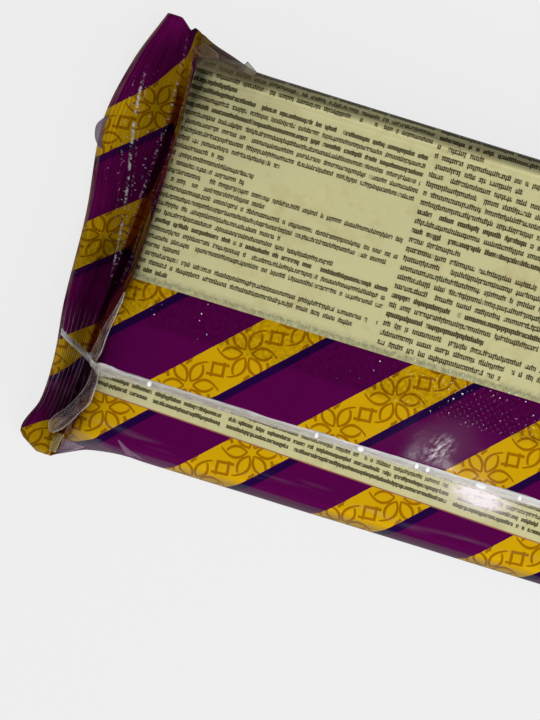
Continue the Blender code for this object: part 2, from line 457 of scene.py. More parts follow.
def laid_film(stations, strip, lift=None):
    """Points, printed length, girth and station of the film, for each station and column.

    strip holds (girth, upper, girth in mm of print) for each column, and lift how far a layer
    on top stands off the film below it."""
    own = sizes()
    count, height, bulge = own.ridge_count, own.ridge_height, own.seal_bulge
    rows = [[film_point(a, g, up, count, height, bulge) for g, up, _ in strip] for a in stations]
    cells = np.array(rows)
    points, printed, shut, slide, reach = cells[..., :3].copy(), *np.moveaxis(cells[..., 3:], -1, 0)
    girth = np.array([column[2] for column in strip]) + slide
    closed = np.allclose(points[:, 0], points[:, -1], atol=1e-7)
    if closed:
        padded = np.concatenate([points[:, -2:-1], points, points[:, 1:2]], axis=1)
        across = padded[:, 2:] - padded[:, :-2]
    else:
        across = np.gradient(points, axis=1)
    normals = np.cross(np.gradient(points, axis=0), across)
    normals /= np.maximum(np.linalg.norm(normals, axis=2, keepdims=True), 1e-12)
    face_girth = np.where(girth > GIRTH_MM / 2, girth - GIRTH_MM, girth)
    height = relief(printed, face_girth, shut, own.cockle)
    if lift is not None:
        height *= np.clip((2.0 - reach) * 4, 0, 1)
    points += normals * height[..., None]
    if lift is not None:
        on_wall = np.clip(1.0 - np.abs(reach - 1.45) / 0.7, 0, 1)
        outward = np.stack([np.sign(printed) * 1.6 * on_wall, on_wall * 0, on_wall * 0 + 1], axis=2)
        points += lift[..., None] * outward / np.linalg.norm(outward, axis=2, keepdims=True)
    points[..., 2] = np.maximum(points[..., 2], 0.0)
    return points, printed, girth, reach


def sheet_mesh(name, points, printed, girth, reach, wrap=False):
    """A grid primitive with one corner for each point, laid in place, with its film maps."""
    across, down = points.shape[0], points.shape[1]
    bpy.ops.object.select_all(action="DESELECT")
    bpy.ops.mesh.primitive_grid_add(x_subdivisions=across - 1, y_subdivisions=down - 1, size=2)
    sheet = bpy.context.object
    sheet.name = name
    mesh = sheet.data
    mesh.name = name
    flat = np.empty(len(mesh.vertices) * 3)
    mesh.vertices.foreach_get("co", flat)
    flat = flat.reshape(-1, 3)
    column = np.rint((flat[:, 0] + 1) / 2 * (across - 1)).astype(int)
    row = np.rint((flat[:, 1] + 1) / 2 * (down - 1)).astype(int)
    mesh.vertices.foreach_set("co", points[column, row].ravel())
    corner = np.empty(len(mesh.loops), dtype=np.int64)
    mesh.loops.foreach_get("vertex_index", corner)
    while mesh.uv_layers:
        mesh.uv_layers.remove(mesh.uv_layers[0])
    place = np.stack([printed[column, row], girth[column, row]], axis=1)[corner]
    low, high = place.min(axis=0), place.max(axis=0)
    margin = 0.004
    for layer, values in (
        ("Film", place),
        ("OFBake", margin + (1 - 2 * margin) * (place - low) / (high - low)),
    ):
        mesh.uv_layers.new(name=layer)
        mesh.uv_layers[layer].data.foreach_set("uv", values.ravel())
    mesh.uv_layers.active = mesh.uv_layers["Film"]
    mesh.uv_layers["Film"].active_render = True
    mark = mesh.attributes.new("Reach", "FLOAT", "POINT")
    mark.data.foreach_set("value", reach[column, row].astype(np.float32))
    mesh.update()
    if wrap:
        bpy.ops.object.mode_set(mode="EDIT")
        bpy.ops.mesh.select_all(action="SELECT")
        bpy.ops.mesh.remove_doubles(threshold=1e-6)
        bpy.ops.object.mode_set(mode="OBJECT")
    bpy.ops.object.shade_smooth()
    return sheet


def thicken(sheet, thickness):
    """Give an open sheet its thickness, outer side kept."""
    bpy.context.view_layer.objects.active = sheet
    wall = sheet.modifiers.new("Film", "SOLIDIFY")
    wall.thickness = thickness
    wall.offset = -1.0
    wall.use_even_offset = True
    bpy.ops.object.modifier_apply(modifier=wall.name)


def finish_piece(piece, material, replaces=False):
    """Give a piece its material and hang it on the pack."""
    piece.data.materials.clear()
    piece.data.materials.append(material)
    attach(piece, BODY)
    if replaces:
        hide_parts(PACK_NODE)


CLEAR_FILMS = {                      # tint on screen, share covered, and cover added at its rims
    "halva_clear_grey": ((240, 222, 222), 0.12, 0.34),
    "halva_clear_tan": ((196, 156, 112), 0.22, 0.34),
    "halva_clear_pale": ((245, 226, 160), 0.18, 0.34),
    "halva_clear_lilac": ((140, 116, 134), 0.7, 0.34),
    "halva_clear_dull": ((150, 142, 118), 0.5, 0.34),
    "halva_clear_faint": ((190, 150, 184), 0.16, 0.06),
}

# Loose folds of clear film: name, material, swell in mm, and the two long edges in mm.
WEBS = (
    ("gusset_fold", "halva_clear_grey", 0.5,
     ((-63.4, -26.6, 13.5), (-63.3, -28.9, 13.6), (-63.9, -31.8, 11.6), (-65.3, -34.6, 6.4),
      (-66.9, -37.2, 4.6), (-68.4, -39.0, 4.8), (-69.5, -41.1, 4.8), (-68.9, -43.2, 4.5)),
     ((-61.6, -26.2, 20.9), (-61.0, -28.6, 20.7), (-60.9, -31.2, 20.7), (-61.1, -34.2, 20.6),
      (-62.4, -36.5, 20.0), (-63.9, -39.1, 16.2), (-66.1, -41.9, 6.4), (-68.0, -43.4, 4.6))),
    ("seal_web", "halva_clear_grey", 0.3,
     ((-61.1, -9.8, 20.8), (-61.6, -12.4, 20.6), (-62.2, -14.7, 20.0), (-63.2, -17.6, 17.0),
      (-64.1, -20.7, 12.0), (-64.9, -23.6, 7.6), (-65.3, -26.0, 5.2)),
     ((-60.8, -9.7, 20.9), (-60.8, -12.0, 20.9), (-61.1, -14.3, 20.9), (-61.5, -17.1, 20.9),
      (-61.8, -20.3, 20.9), (-62.0, -23.4, 20.8), (-62.6, -25.4, 19.0))),
    ("ear_gusset", "halva_clear_lilac", 0.3,
     ((-65.4, -43.4, 6.9), (-65.4, -45.2, 5.8), (-66.0, -47.1, 4.8)),
     ((-60.0, -43.9, 10.8), (-62.1, -45.3, 7.8), (-64.6, -46.8, 5.6))),
    ("ear_fold", "halva_clear_pale", 0.3,
     ((-66.9, -43.1, 4.6), (-67.7, -44.9, 4.4), (-67.6, -47.4, 4.2)),
     ((-65.0, -42.5, 10.3), (-65.7, -44.4, 6.2), (-66.1, -47.2, 4.8))),
    ("corner_fan", "halva_clear_tan", 0.4,
     ((-63.3, 45.1, 7.4), (-62.9, 44.6, 8.5), (-61.7, 43.5, 12.5), (-59.9, 42.5, 17.3)),
     ((-61.0, 46.6, 8.0), (-59.2, 45.9, 9.3), (-57.5, 44.9, 11.5), (-56.9, 43.5, 15.0))),
    ("corner_peak", "halva_clear_dull", 0.3,
     ((-51.9, 42.4, 18.0), (-50.6, 42.1, 18.6), (-48.6, 41.8, 19.0)),
     ((-50.7, 44.4, 18.0), (-50.2, 44.2, 18.2), (-48.0, 42.8, 18.0))),
    # A faint clear sheet that stands for a painted highlight on the -Y side wall.
    ("side_fin", "halva_clear_faint", 0.1,
     ((-53.3, -39.9, 20.0), (-52.0, -41.3, 19.0), (-50.6, -42.4, 17.0)),
     ((-53.0, -39.8, 20.0), (-50.4, -41.2, 19.0), (-47.0, -42.3, 17.0))),
    ("seal_tab", "halva_clear_lilac", 0.2,
     ((-77.6, 25.4, 3.2), (-78.7, 23.4, 3.2), (-78.3, 20.9, 3.2), (-77.0, 19.0, 3.2)),
     ((-76.6, 26.0, 3.2), (-77.0, 24.0, 3.2), (-76.8, 21.3, 3.2), (-76.0, 18.8, 3.2))),
)

# --- Materials ------------------------------------------------------------------------------


def feed(tree, slot, value):
    """Link a signal to a socket, or set a plain value on it."""
    if isinstance(value, Signal):
        tree.links.new(value.socket, slot)
    else:
        slot.default_value = value


class Signal:
    """A value in a node tree, for writing patterns as plain arithmetic."""

    def __init__(self, tree, socket):
        self.tree = tree
        self.socket = socket

    def maths(self, operation, *others, clamp=False):
        """One Math node with this value first."""
        node = self.tree.nodes.new("ShaderNodeMath")
        node.operation = operation
        node.use_clamp = clamp
        for slot, value in zip(node.inputs, (self, *others)):
            feed(self.tree, slot, value)
        return Signal(self.tree, node.outputs[0])

    __add__ = partialmethod(maths, "ADD")
    __sub__ = partialmethod(maths, "SUBTRACT")
    __mul__ = partialmethod(maths, "MULTIPLY")
    __truediv__ = partialmethod(maths, "DIVIDE")
    __abs__ = partialmethod(maths, "ABSOLUTE")
    floor = partialmethod(maths, "FLOOR")
    smaller = partialmethod(maths, "MINIMUM")
    larger = partialmethod(maths, "MAXIMUM")
    wrapped = partialmethod(maths, "FLOORED_MODULO")

    def minus_from(self, number):
        """number - self."""
        return self.maths("MULTIPLY_ADD", -1.0, number)

    def held(self, low=0.0, high=1.0):
        """The value, kept between two numbers."""
        return self.larger(low).smaller(high)

    def above(self, limit, soft=0.06):
        """1 where the value is over a number, with a soft edge."""
        return self.maths("MULTIPLY_ADD", 1.0 / soft, 0.5 - limit / soft, clamp=True)

    def below(self, limit, soft=0.06):
        """1 where the value is under a number, with a soft edge."""
        return self.maths("MULTIPLY_ADD", -1.0 / soft, 0.5 + limit / soft, clamp=True)

    def within(self, low, high, soft=0.06):
        """1 between two numbers."""
        return self.above(low, soft) * self.below(high, soft)


COLOUR_SOCKETS = ("Purple", "Navy", "Yellow", "Ochre", "Cream", "Ink", "Colour")


def new_group(name, inputs, outputs):
    """Node group with the named inputs and outputs, and its inputs as signals."""
    group = bpy.data.node_groups.new(name, "ShaderNodeTree")
    for way, labels in (("INPUT", inputs), ("OUTPUT", outputs)):
        for label in labels:
            kind = "NodeSocketColor" if label in COLOUR_SOCKETS else "NodeSocketFloat"
            group.interface.new_socket(label, in_out=way, socket_type=kind)
    source = group.nodes.new("NodeGroupInput")
    target = group.nodes.new("NodeGroupOutput")
    return group, {label: Signal(group, source.outputs[label]) for label in inputs}, target


def put_out(group, target, label, signal):
    """Link a signal to a group's output."""
    group.links.new(signal.socket, target.inputs[label])


def place_group(tree, group, **values):
    """Place a group in a tree, with each input linked or set."""
    node = tree.nodes.new("ShaderNodeGroup")
    node.node_tree = group
    for label, value in values.items():
        feed(tree, node.inputs[label.title()], value)
    return {output.name: Signal(tree, output) for output in node.outputs}


def blended(tree, share, first, second, way="MIX"):
    """Colour mixed from first to second by a share."""
    node = tree.nodes.new("ShaderNodeMix")
    node.data_type = "RGBA"
    node.blend_type = way
    for slot, value in zip((0, 6, 7), (share, first, second)):
        feed(tree, node.inputs[slot], value)
    return Signal(tree, node.outputs[2])


def joined(tree, x, y, z=0.0):
    """Vector from three values."""
    node = tree.nodes.new("ShaderNodeCombineXYZ")
    for slot, value in zip(node.inputs, (x, y, z)):
        feed(tree, slot, value)
    return Signal(tree, node.outputs[0])


def cloudy(tree, vector, scale, detail=2.0, roughness=0.5):
    """Noise from 0 to 1."""
    node = tree.nodes.new("ShaderNodeTexNoise")
    node.inputs["Scale"].default_value = scale
    node.inputs["Detail"].default_value = detail
    node.inputs["Roughness"].default_value = roughness
    tree.links.new(vector.socket, node.inputs["Vector"])
    return Signal(tree, node.outputs[0])


def streaky(tree, x, y, detail, roughness):
    """Noise from 0 to 1 over a place that the caller stretches."""
    return cloudy(tree, joined(tree, x, y), 1.0, detail, roughness)


def scattered(tree, vector):
    """A random value from 0 to 1 for each vector."""
    node = tree.nodes.new("ShaderNodeTexWhiteNoise")
    node.noise_dimensions = "3D"
    tree.links.new(vector.socket, node.inputs["Vector"])
    return Signal(tree, node.outputs[0])


def film_position(tree):
    """Printed length and girth in mm, from the piece's film map."""
    node = tree.nodes.new("ShaderNodeUVMap")
    node.uv_map = "Film"
    parts = tree.nodes.new("ShaderNodeSeparateXYZ")
    tree.links.new(node.outputs[0], parts.inputs[0])
    return Signal(tree, parts.outputs[0]), Signal(tree, parts.outputs[1])


def either(switch, values):
    """The first of two numbers where the switch is 0, and the second where it is 1."""
    return switch * (values[1] - values[0]) + values[0]


def patch(x, y, size=1.0):
    """Soft patch, highest where x and y are 0 and gone where their squares add up to the size."""
    share = (x * x + y * y).minus_from(size).larger(0.0)
    return share * share


def place_across(along, girth):
    """Place across the face in mm, as the -X end has it, and the end's own 1 or -1."""
    turned = along.above(0.0) * -2.0 + 1.0
    return (girth - girth.above(FRONT_MIDDLE) * GIRTH_MM) * turned, turned


def ornament_group():
    """Six-petal rosettes in a row with small hooked squares between, as line work."""
    group, put, target = new_group("Band Ornament", ("Along", "Across"), ("Line",))
    along = (put["Along"] + MOTIF_PITCH / 2).wrapped(MOTIF_PITCH) - MOTIF_PITCH / 2
    across = put["Across"]
    distance = (along * along + across * across).maths("SQRT")
    angle = across.maths("ARCTAN2", along)
    sector = math.pi / 3
    stroke = 0.31
    petal_middle, petal_half, petal_width = 3.3, 2.3, 1.22

    petal_turn = angle - ((angle / sector).floor() + 0.5) * sector
    out = distance * petal_turn.maths("COSINE") - petal_middle
    side = distance * petal_turn.maths("SINE")
    share = out / petal_half
    lens = (share * share).minus_from(1.0) * petal_width
    inner = out.above(-2.42)
    plain_arc = abs(side - lens).below(stroke) * out.below(2.0) * inner
    long_arc = abs(side + lens).below(stroke) * out.below(3.1) * inner

    square_turn = angle - (angle / sector).maths("ROUND") * sector
    dx = distance * square_turn.maths("COSINE") - MOTIF_PITCH / 2
    dy = distance * square_turn.maths("SINE")
    turn = math.radians(40)
    half = 1.2
    sx = dx * math.cos(turn) + dy * math.sin(turn)
    sy = dy * math.cos(turn) - dx * math.sin(turn)
    rails = abs(abs(sy) - half).below(stroke) * (sx * sy.maths("SIGN")).within(-2.3, half + stroke)
    posts = abs(abs(sx) - half).below(stroke) * (sy * sx.maths("SIGN")).within(-1.7, half + stroke)
    line = plain_arc.larger(long_arc).larger(rails.larger(posts))
    put_out(group, target, "Line", line)
    return group


def small_print_group():
    """Rows of broken strokes that stand for small print and hold no letters."""
    group, put, target = new_group("Small Print", ("Along", "Line", "Rise", "Letter"), ("Stroke",))
    line, rise = put["Line"], put["Rise"]
    place = put["Along"] / put["Letter"]
    base, height = 0.28, 0.73        # foot and top of the strokes, as shares of the line
    word_gap = scattered(group, joined(group, place.floor(), line, 0.5)).above(0.12, 0.01)
    stem = (place * 1.9).floor()
    beside = abs(place * 1.9 - stem - 0.5)
    chance = scattered(group, joined(group, stem, line, 4.5))
    tie = scattered(group, joined(group, stem, line, 8.5))
    bold = scattered(group, joined(group, 3.5, line, 5.5)).above(0.72, 0.01) * 0.11
    top = chance.above(0.84, 0.01) * 0.14 + height
    foot = chance.below(0.1, 0.01) * -0.15 + base
    upright = (beside - bold).below(0.3, 0.14) * abs(chance - 0.5).above(0.04, 0.01)
    upright = upright * (rise - foot).above(0.0, 0.08) * (top - rise).above(0.0, 0.08)
    head = abs(rise - 0.67).below(0.08, 0.06) * tie.above(0.4, 0.01)
    heel = abs(rise - 0.35).below(0.08, 0.06) * tie.below(0.55, 0.01)
    body = rise.within(base, height, 0.1) * (bold * 1.8 + 0.34)
    stroke = upright.larger(head.larger(heel)).larger(body)
    put_out(group, target, "Stroke", stroke * word_gap)
    return group


def line_lengths(tree, line, lengths):
    """Share of its column that each numbered line fills."""
    ramp = tree.nodes.new("ShaderNodeValToRGB")
    ramp.color_ramp.interpolation = "CONSTANT"
    marks = ramp.color_ramp.elements
    step = 1.0 / len(lengths)
    for number, length in enumerate(lengths):
        mark = marks[number] if number < 2 else marks.new(number * step)
        mark.position = number * step
        mark.color = (length, length, length, 1.0)
    share = (line + 0.5) * step
    tree.links.new(share.socket, ramp.inputs[0])
    return Signal(tree, ramp.outputs[0])


def film_print_group(ornament, small_print):
    """The whole print of the film, from its printed length and girth."""
    group, put, target = new_group(
        "Film Print", ("Along", "Girth", "Purple", "Navy", "Yellow", "Ochre", "Cream", "Ink"),
        ("Colour", "Ground"),
    )
    along, girth = put["Along"], put["Girth"]
    lower = girth.above(FRONT_MIDDLE)
    face_y = girth - lower * GIRTH_MM

    lattice = along - face_y + lower * LOWER_BAND_SHIFT - BAND_START
    number = (lattice / BAND_PITCH).floor()
    inside = lattice.wrapped(BAND_PITCH)
    band = inside.within(0.0, BAND_WIDTH)
    shade = inside.within(BAND_WIDTH, BAND_WIDTH + SHADE_WIDTH)
    half_root = math.sqrt(0.5)
    run = (along + face_y) * half_root - number * MOTIF_STEP + lower * LOWER_MOTIF_SHIFT + MOTIF_START
    across = (inside - BAND_WIDTH / 2) * half_root
    lines = place_group(group, ornament, along=run, across=across)["Line"]

    gold = blended(group, lines, put["Yellow"], put["Ochre"])
    stripes = blended(group, shade, put["Purple"], put["Navy"])
    stripes = blended(group, band, stripes, gold)

    # The upper cream panel with two columns of small print, and blurred print near its edge.
    ends = abs(along).below(CREAM_END)
    cut = (abs(along) + (face_y - 41.0).larger(0.0)).below(CREAM_END)
    panel = face_y.above(CREAM_EDGE) * face_y.below(CREAM_SIDE_EDGE) * cut * (lower.minus_from(1.0))
    right = along.above(COLUMN_SPLIT, 0.02)
    column = along - either(right, COLUMN_STARTS)
    row = (face_y - PRINT_START) / either(right, LINE_PITCHES) + 0.5
    line = row.floor()
    length = blended(
        group, right, line_lengths(group, line, LEFT_LINES), line_lengths(group, line, RIGHT_LINES),
    )
    ink = place_group(
        group, small_print, along=along, line=line + right * 40.0, rise=row - line,
        letter=either(right, LETTER_WIDTHS),
    )["Stroke"]
    fits = (length * COLUMN_WIDTH - column).above(0.0) * column.above(-1.9)
    ink = ink * fits * line.above(-0.5, 0.1)
    ghost = place_group(
        group, small_print, along=along, line=3.0, rise=(face_y + 6.3) / 1.5, letter=1.5,
    )["Stroke"] * face_y.within(-6.1, -4.95, 0.3)

    # The cream strip on the film's other edge, under the flap's free edge.
    above_border = face_y - (along * STRIP_SLOPE + STRIP_EDGE)
    strip = above_border.above(0.0) * ends * lower
    edge_line = above_border.within(-0.26, 0.0, 0.12) * ends * lower
    low_row = (above_border - 0.96) / STRIP_LINE_PITCH
    low_line = low_row.floor()
    low_column = (along + 32.3).wrapped(STRIP_COLUMN[0]).below(STRIP_COLUMN[1])
    low_ink = place_group(
        group, small_print, along=along, line=low_line + 90.0, rise=low_row - low_line, letter=0.64,
    )["Stroke"] * low_column * above_border.above(0.96)

    stains = cloudy(group, joined(group, along, girth, 7.0), 0.22, 3.0, 0.6)
    cream = blended(group, (stains - 0.52).larger(0.0) * 1.2, put["Cream"], linear(150, 122, 70))
    cream = blended(group, ghost * 0.55, cream, linear(150, 156, 122))
    cream = blended(group, (ink * panel).larger(low_ink * strip) * 0.93, cream, put["Ink"])
    colour = blended(group, edge_line, stripes, linear(150, 98, 72))
    colour = blended(group, panel.larger(strip), colour, cream)

    # The front: a purple field in a gold frame, with a plain cream oval.
    front_y = girth - FRONT_MIDDLE
    field = abs(along).below(FRONT_FIELD[0]) * abs(front_y).below(FRONT_FIELD[1])
    outside = abs(along).above(FRONT_FRAME[0]).larger(abs(front_y).above(FRONT_FRAME[1]))
    frame_line = field * outside
    oval_x, oval_y = along / FRONT_OVAL[0], front_y / FRONT_OVAL[1]
    oval = (oval_x * oval_x + oval_y * oval_y).maths("SQRT")
    ring = oval.within(1.0, 1.1, 0.01)
    front = blended(group, frame_line.larger(ring), put["Purple"], put["Yellow"])
    front = blended(group, oval.below(1.0, 0.01), front, put["Cream"])
    colour = blended(group, field, colour, front)
    put_out(group, target, "Colour", colour)
    put_out(group, target, "Ground", band.minus_from(1.0))
    return group


def film_relief_group():
    """Knurl of the back seam and the film's faint skin: relief in mm, dull film, and painted glints,
    glare and sheen.
    """
    group, put, target = new_group("Film Relief", ("Along", "Girth"), ("Height", "Dull", "Glint"))
    along, girth = put["Along"], put["Girth"]
    place = joined(group, along, girth)
    zone = girth.within(*KNURL_ZONE, 1.2)
    sway = (cloudy(group, place, 0.7, 1.0) - 0.5) * 0.5
    first = (along + girth + sway) / KNURL_PITCH
    second = (along - girth + sway) / KNURL_PITCH
    pits = (first * math.pi).maths("SINE") * (second * math.pi).maths("SINE")
    pits = pits * pits
    chance = scattered(group, joined(group, first.floor(), second.floor(), 1.5))
    pressed = ((cloudy(group, place, 0.13, 2.0) - 0.3) * 2.4 + along * 0.012).held(0.15, 1.0)
    skin = cloudy(group, place, 0.3, 5.0, 0.62)
    put_out(group, target, "Height", zone * pits * pressed * (chance + 0.2) * 0.03 + skin * 0.012)
    rough = cloudy(group, place, 1.1, 3.0, 0.7)
    put_out(group, target, "Dull", zone * ((rough - 0.34) * 2.2 + pits * 0.12).held())

    # Painted glints of the pits, which thicken towards the +X end.
    lit = (along + 26.0).held(0.0, 44.0) * 0.0065
    patchy = cloudy(group, place, 0.22, 2.0, 0.6)
    bright = (chance + lit * pressed + (patchy - 0.5) * 0.9 - 0.98).larger(0.0) * 11.0
    ragged = cloudy(group, place, 2.2, 2.0, 0.75)
    dot = (pits + (ragged - 0.5) * 1.9).above(0.97, 0.12)

    # Painted glare on the cream strip, painted crumpled glare on the flap, and a painted sheen in long
    # streaks below the strip.
    wisp = cloudy(group, joined(group, along * 0.6, girth * 1.6), 0.7, 3.0, 0.65)
    away = (along - STRIP_GLARE[0]) / STRIP_GLARE_SIZE[0]
    aside = (girth - STRIP_GLARE[1]) / STRIP_GLARE_SIZE[1]
    gleam = patch(away, aside) * ((wisp - 0.34) * 4.6 + 0.3).larger(0.0)
    gleam = gleam + patch(away, aside, 3.2) * 0.03
    x, y = along - FLAP_GLARE[0], girth - FLAP_GLARE[1]
    run = (x * 0.62 + y * 0.78) / FLAP_GLARE_SIZE[0]
    off = (x * 0.78 - y * 0.62) / FLAP_GLARE_SIZE[1]
    hair = streaky(group, run * 2.4, off * 4.4, 3.0, 0.6)
    glare_and_sheen = patch(run, off) * (run * -0.5 + 1.0) * ((hair - 0.5) * 3.4 + 0.22).larger(0.0)
    glare_and_sheen = glare_and_sheen + patch(run, off, 5.0) * girth.below(0.0) * 0.0014
    sheen = abs(girth - SHEEN_LINE + (along * 0.13).maths("SINE") * 0.9)
    drawn = streaky(group, along * 0.07, girth * 0.7, 2.0, 0.5)
    glare_and_sheen = glare_and_sheen.larger(sheen.below(0.4, 1.4) * (drawn - 0.44).larger(0.0) * 0.22)
    glint = (bright.smaller(1.0) * dot * zone).larger(gleam.larger(glare_and_sheen)).smaller(1.0)
    put_out(group, target, "Glint", glint)
    return group


def edge_shade_group():
    """Painted shade at the film's edges, on the walls at the ends and down the long sides, painted
    highlights on a fold and along the +Y rim, and pale folds.
    """
    group, put, target = new_group(
        "Edge Shade", ("Along", "Girth", "Reach"), ("Tone", "Wall Shade", "Fold"),
    )
    along, girth, reach = put["Along"], put["Girth"], put["Reach"]
    across, turned = place_across(along, girth)

    # Painted shade darkens the face towards its edge and the walls at the ends, and painted light makes
    # the seals a little lighter.
    drawn_in = (across - 23.0).held(0.0, 14.0) * 0.13
    inward = (reach.minus_from(1.0) * 60.0 - drawn_in).larger(0.0)
    edge = (inward / -2.0).maths("EXPONENT") * (drawn_in * 0.12 + 0.42)
    edge = edge + (inward / -8.0).maths("EXPONENT") * 0.22
    on_face = edge.minus_from(1.0)
    wall = reach.within(1.02, 2.06, 0.08)
    seal = reach.above(2.0, 0.12)
    end_tone = wall * 0.22 + 0.52 + seal * 0.6
    is_end = reach.above(1.02, 0.06)
    tone = on_face + is_end * (end_tone - on_face)

    # Painted shade darkens the +Y side in grooved streaks, less where the film fans out to each corner,
    # which is paler.
    grooves = streaky(group, along * 0.016, girth * 1.3, 2.0, 0.7)
    shut_side = ((grooves - 0.36) * 1.3 + 0.34).held(0.18, 0.75)
    shut_side = shut_side * (girth.above(43.5, 2.0) * -0.4 + 1.0)
    flank = reach.below(1.5, 0.6)
    side = girth.within(39.9, 62.0, 1.3) * flank
    tone = tone + side * (tone * shut_side - tone)
    # Painted highlight on a fold at the panel's edge.
    fold_highlight = abs(along * turned + 60.6) / 1.4 + abs(across - 19.0) / 2.2
    fold_highlight = (fold_highlight + grooves * 0.6).below(1.1, 0.7)
    fan = abs(along * turned + 56.0).below(9.0, 9.0) * side
    tone = tone + fan * ((grooves - 0.3) * 1.4 + 0.25 - tone)

    # Painted shade on the -Y side's foot and the face's corner, the -Y end of the seals darker, and a
    # painted highlight along the pale +Y rim.
    low_side = girth.within(FRONT_MIDDLE + QUARTER_GIRTH / MM - 6.0, GIRTH_MM - 41.4, 1.8) * flank
    low_side = low_side * ((along + 62.0) / 30.0).held(0.25, 1.0)
    corner = ((along + 34.0) / -14.0).held() * ((girth - 22.0) / 12.0).held()
    tone = tone * (corner * flank * girth.below(60.0) * -0.2 + 1.0)
    tone = tone * (low_side * -0.5 + 1.0) * (across.below(-38.0, 8.0) * seal * -0.52 + 1.0)
    pale = abs(girth - 38.9 - along * 0.004).below(0.2, 0.5) + abs(girth - 37.7).below(0.1, 0.5) * 0.4
    tone = tone * (pale * abs(along).below(57.0, 6.0) * flank * 0.22 + 1.0)
    put_out(group, target, "Tone", tone)
    # Painted shade on the walls at the ends, fading towards the +Y corner.
    put_out(group, target, "Wall Shade", wall * across.below(33.0, 9.0))
    # Fold: the pale film fanning out at each corner, and the painted fold highlight.
    put_out(group, target, "Fold", (fan * (grooves * 1.2).smaller(0.8)).larger(fold_highlight * 0.6))
    return group


def seal_light_and_margin_group():
    """Painted shade and light across the crimp ridges of the end seals, painted highlights along a few
    crests, in spots and on pleats, painted light on the seals' purple, and the bare margin at the outer
    edge.
    """
    group, put, target = new_group(
        "Seal Light and Margin", ("Along", "Girth", "Reach", "Ridges"),
        ("Tone", "Crest Highlight", "Margin", "Pleat Highlight", "Glow"),
    )
    over = put["Reach"] - 2.0
    across, _ = place_across(put["Along"], put["Girth"])
    on_seal = over.above(0.01, 0.04)
    first, last = CRIMP_SPAN
    # Painted shade and light across the crimp ridges, deeper where the film is gathered, over a random
    # mottle.
    ridge = ((over - first) * put["Ridges"] * (2 * math.pi / (last - first))).maths("SINE")
    sway = streaky(group, across * 0.09, over * 11.0, 3.0, 0.65)
    gathered = across.below(-16.0, 16.0) + over.above(0.72, 0.3) * across.above(14.0, 12.0) * 0.7
    depth = (gathered * 0.2 + 0.07 + (sway - 0.5) * 0.5) * across.above(-40.0, 8.0)
    put_out(group, target, "Tone", (ridge * depth + (sway - 0.5) * 0.7) * on_seal + 1.0)

    # Painted highlights along a few crests and along the seal's inner line, and in spots.
    fine = streaky(group, across * 1.5, over * 16.0, 2.0, 0.7)
    lane = over - 0.26 - across * 0.0133
    dashes = cloudy(group, joined(group, across, over * 2.0), 0.3, 2.0, 0.6)
    streak = abs(lane).below(0.02, 0.025) * across.within(-10.0, 31.0, 6.0)
    streak = streak * ((dashes - 0.4) * 8.0).held(0.0, 1.3)
    beside = abs(abs(lane - 0.03) - 0.11).below(0.01, 0.025) * across.within(-6.0, 28.0, 8.0)
    inner_line = abs(over - 0.07).below(0.02, 0.03) * across.within(-12.0, 40.0, 8.0)
    crest_highlight = (streak * (fine - 0.44) + (beside + inner_line) * (fine - 0.54)).larger(0.0) * 9.0
    spot_x, spot_y = across * 2.1, over * 22.0
    chance = scattered(group, joined(group, spot_x.floor(), spot_y.floor(), 2.5))
    spot_x = abs(spot_x.wrapped(1.0) - 0.5)
    spot_y = abs(spot_y.wrapped(1.0) - 0.5)
    spot = (chance - 0.965).larger(0.0) * 28.0 * (spot_x + spot_y * 0.7).below(0.3, 0.2)
    spot = spot * across.within(-6.0, 30.0, 10.0) * over.within(0.05, 0.7, 0.2)
    sparkle = crest_highlight.larger(spot).smaller(1.0)

    # Painted pale highlights on the pleats towards the -Y end, and the bare margin at the seal's outer
    # edge.
    pleat_highlight = (over * 7.5 + (sway - 0.5) * 1.6 + across * 0.02).wrapped(1.0)
    pleat_highlight = abs(pleat_highlight - 0.5).below(0.13, 0.16) * across.within(-43.0, -23.0, 6.0) * (fine * 0.8 + 0.35)
    put_out(group, target, "Crest Highlight", sparkle * on_seal)
    put_out(group, target, "Pleat Highlight", pleat_highlight * on_seal * 0.58)
    # Painted light that brightens the seals' purple in streaks.
    put_out(group, target, "Glow", on_seal * ((sway - 0.3) * 2.4 + ridge * 0.25).larger(0.1))
    put_out(group, target, "Margin", over.above(0.93, 0.05) * ((sway - 0.38) * 5.0).held())
    return group


def new_material(name, roughness):
    """A material with its node tree and its shader, which has its plain values."""
    material = bpy.data.materials.new(name)
    material.use_nodes = True
    shader = material.node_tree.nodes["Principled BSDF"]
    shader.inputs["Roughness"].default_value = roughness
    shader.inputs["IOR"].default_value = 1.45
    return material, material.node_tree, shader


